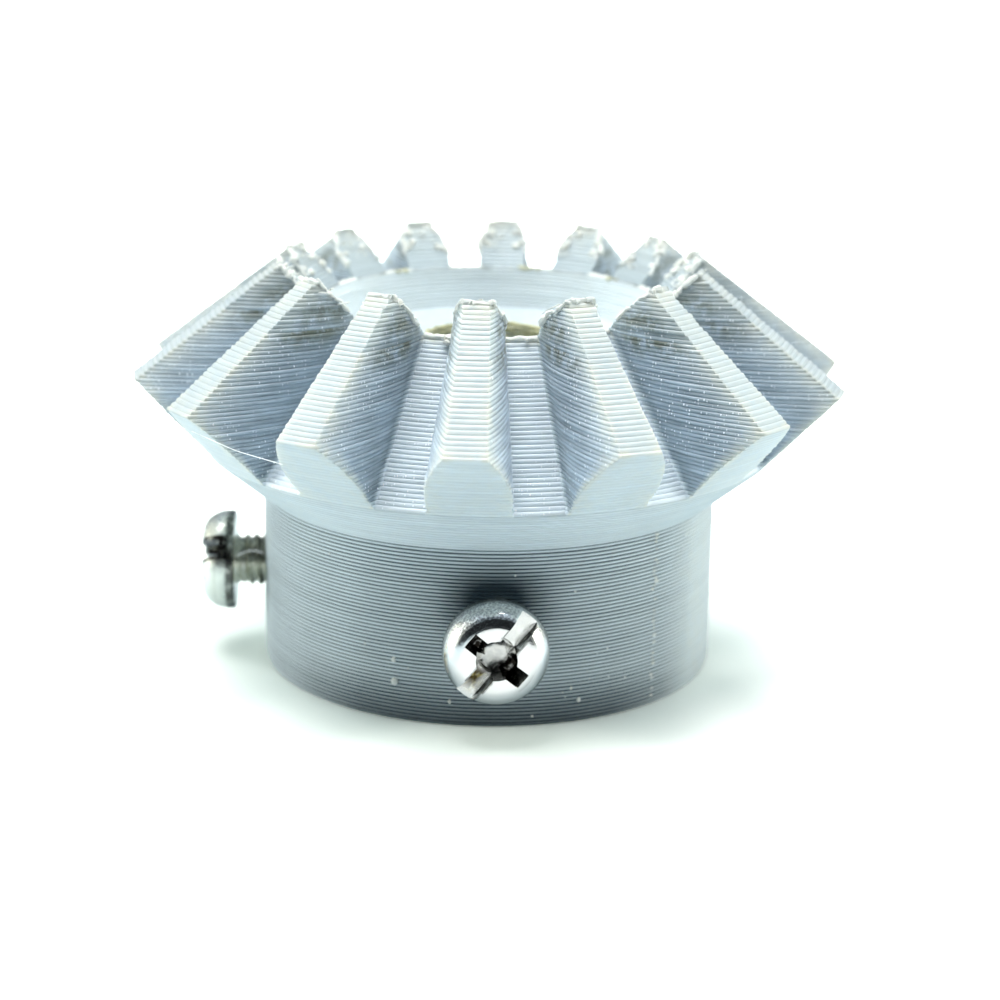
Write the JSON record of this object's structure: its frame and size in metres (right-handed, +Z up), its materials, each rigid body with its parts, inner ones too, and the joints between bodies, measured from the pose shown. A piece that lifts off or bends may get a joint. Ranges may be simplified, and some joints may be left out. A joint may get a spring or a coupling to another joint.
{
  "type": "printed bevel gear with set screws",
  "caption": "Straight bevel gear printed in grey plastic, with a round hub, a recessed top pocket, an open shaft bore and radial pan-head screws in captive nuts.",
  "frame": {"origin": "centre of the hub's underside, on the gear's axis", "axes": "+Z up the gear's axis from the hub to the teeth, -Y towards the front set screw, -X towards the side set screw"},
  "size_m": [0.0388, 0.039, 0.0224],
  "materials": {
    "grey_plastic": "satin, fine layer lines",
    "plated_steel": "nickel plated, slightly tarnished",
    "zinc_steel": "zinc plated"
  },
  "bodies": {
    "gear": {"gear_body": "grey_plastic", "front_captive_nut": "zinc_steel", "side_captive_nut": "zinc_steel"},
    "front_screw": {"front_set_screw": "plated_steel"},
    "side_screw": {"side_set_screw": "plated_steel"}
  },
  "joints": [
    {"name": "front_screw_travel", "type": "slide", "parent": "gear", "child": "front_screw", "axis": [0.0366, -0.9993, 0], "range_m": [-0.0016, 0.0085]},
    {"name": "side_screw_travel", "type": "slide", "parent": "gear", "child": "side_screw", "axis": [-0.9993, -0.0366, 0], "range_m": [-0.0016, 0.0085]}
  ]
}
